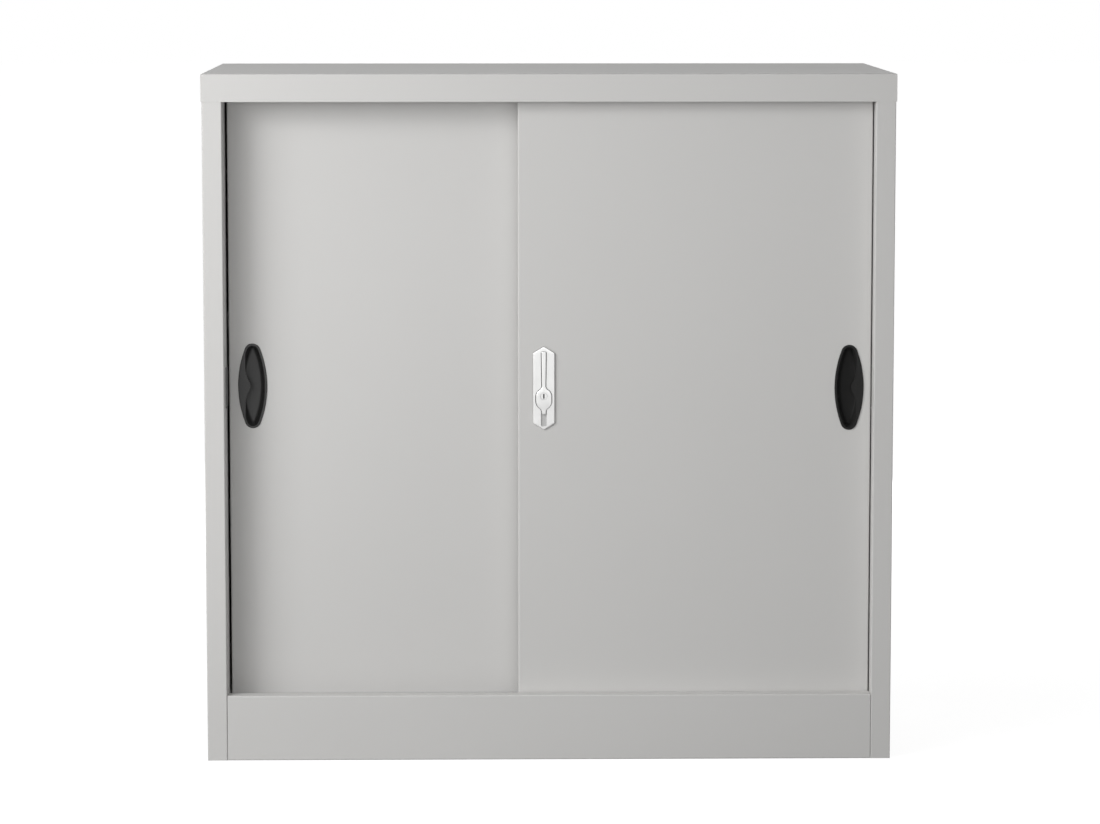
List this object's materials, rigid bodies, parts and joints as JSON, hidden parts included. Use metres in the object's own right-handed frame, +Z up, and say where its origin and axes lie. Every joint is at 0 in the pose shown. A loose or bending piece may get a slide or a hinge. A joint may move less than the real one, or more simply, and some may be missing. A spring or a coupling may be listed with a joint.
{
  "type": "sliding door cabinet",
  "caption": "Half-height steel cupboard with sliding doors on rollers, recessed black pulls, a cam lock with a turning lever, and adjustable shelves inside.",
  "frame": {"origin": "middle of the footprint, on the floor", "axes": "+Z up, doors facing -Y, +X to the right seen from the front"},
  "size_m": [0.9, 0.45, 0.9],
  "materials": {
    "body_paint": "light grey powder coat, satin, fine orange peel",
    "pull_plastic": "black moulded plastic, fine grain",
    "lock_chrome": "satin chrome on die-cast zinc",
    "plated_steel": "bright zinc plate",
    "track_metal": "drawn, satin",
    "roller_plastic": "natural nylon",
    "stop_rubber": "matt grey"
  },
  "bodies": {
    "cabinet": {"top_panel": "body_paint", "left_side_panel": "body_paint", "right_side_panel": "body_paint", "back_panel": "body_paint", "bottom_panel": "body_paint", "plinth": "body_paint", "bottom_track": "track_metal", "bottom_track_rivets": "plated_steel", "top_track": "body_paint", "door_stop_pads": "stop_rubber", "front_left_shelf_post": "body_paint", "rear_left_shelf_post": "body_paint", "front_right_shelf_post": "body_paint", "rear_right_shelf_post": "body_paint", "lower_shelf": "body_paint", "upper_shelf": "body_paint", "lower_shelf_clips": "plated_steel", "upper_shelf_clips": "plated_steel"},
    "left_door": {"left_door_panel": "body_paint", "left_door_pull": "pull_plastic", "left_door_stiffener": "body_paint", "left_door_brackets": "plated_steel", "left_door_bracket_rivets": "plated_steel", "left_door_axles": "plated_steel", "left_door_guides": "roller_plastic", "lock_strike": "plated_steel", "lock_strike_rivets": "plated_steel"},
    "right_door": {"right_door_panel": "body_paint", "right_door_pull": "pull_plastic", "right_door_stiffener": "body_paint", "right_door_brackets": "plated_steel", "right_door_bracket_rivets": "plated_steel", "right_door_axles": "plated_steel", "right_door_guides": "roller_plastic", "lock_plate": "lock_chrome", "lock_case": "plated_steel", "lock_fixing_screws": "plated_steel"},
    "left_door_left_roller": {"left_door_left_roller": "roller_plastic"},
    "left_door_right_roller": {"left_door_right_roller": "roller_plastic"},
    "right_door_left_roller": {"right_door_left_roller": "roller_plastic"},
    "right_door_right_roller": {"right_door_right_roller": "roller_plastic"},
    "lever": {"lock_lever": "lock_chrome", "lock_cam": "plated_steel", "lock_cam_screw": "plated_steel"},
    "plug": {"lock_plug": "lock_chrome"}
  },
  "joints": [
    {"name": "left_door_slide", "type": "slide", "parent": "cabinet", "child": "left_door", "axis": [1, 0, 0], "range_m": [-0.0017, 0.3793]},
    {"name": "right_door_slide", "type": "slide", "parent": "cabinet", "child": "right_door", "axis": [1, 0, 0], "range_m": [-0.381, 0]},
    {"name": "left_door_left_roller_turn", "type": "hinge", "parent": "left_door", "child": "left_door_left_roller", "pos_m": [-0.3748, -0.157, 0.083], "axis": [0, 1, 0], "range_deg": [-11.6, 2556.9]},
    {"name": "left_door_right_roller_turn", "type": "hinge", "parent": "left_door", "child": "left_door_right_roller", "pos_m": [-0.0028, -0.157, 0.083], "axis": [0, 1, 0], "range_deg": [-11.6, 2556.9]},
    {"name": "right_door_left_roller_turn", "type": "hinge", "parent": "right_door", "child": "right_door_left_roller", "pos_m": [0.0045, -0.189, 0.083], "axis": [0, 1, 0], "range_deg": [-2568.4, 0.1]},
    {"name": "right_door_right_roller_turn", "type": "hinge", "parent": "right_door", "child": "right_door_right_roller", "pos_m": [0.3765, -0.189, 0.083], "axis": [0, 1, 0], "range_deg": [-2568.4, 0.1]},
    {"name": "lever_turn", "type": "hinge", "parent": "right_door", "child": "lever", "pos_m": [-0.0069, -0.19, 0.4791], "axis": [0, 1, 0], "range_deg": [0, 90]},
    {"name": "plug_turn", "type": "hinge", "parent": "lever", "child": "plug", "pos_m": [-0.0069, -0.2, 0.4791], "axis": [0, 1, 0], "range_deg": [0, 90]}
  ],
  "couplings": [
    {"joint": "left_door_left_roller_turn", "follows": "left_door_slide", "rad_per_m": 117.65},
    {"joint": "left_door_right_roller_turn", "follows": "left_door_slide", "rad_per_m": 117.65},
    {"joint": "right_door_left_roller_turn", "follows": "right_door_slide", "rad_per_m": 117.65},
    {"joint": "right_door_right_roller_turn", "follows": "right_door_slide", "rad_per_m": 117.65}
  ]
}
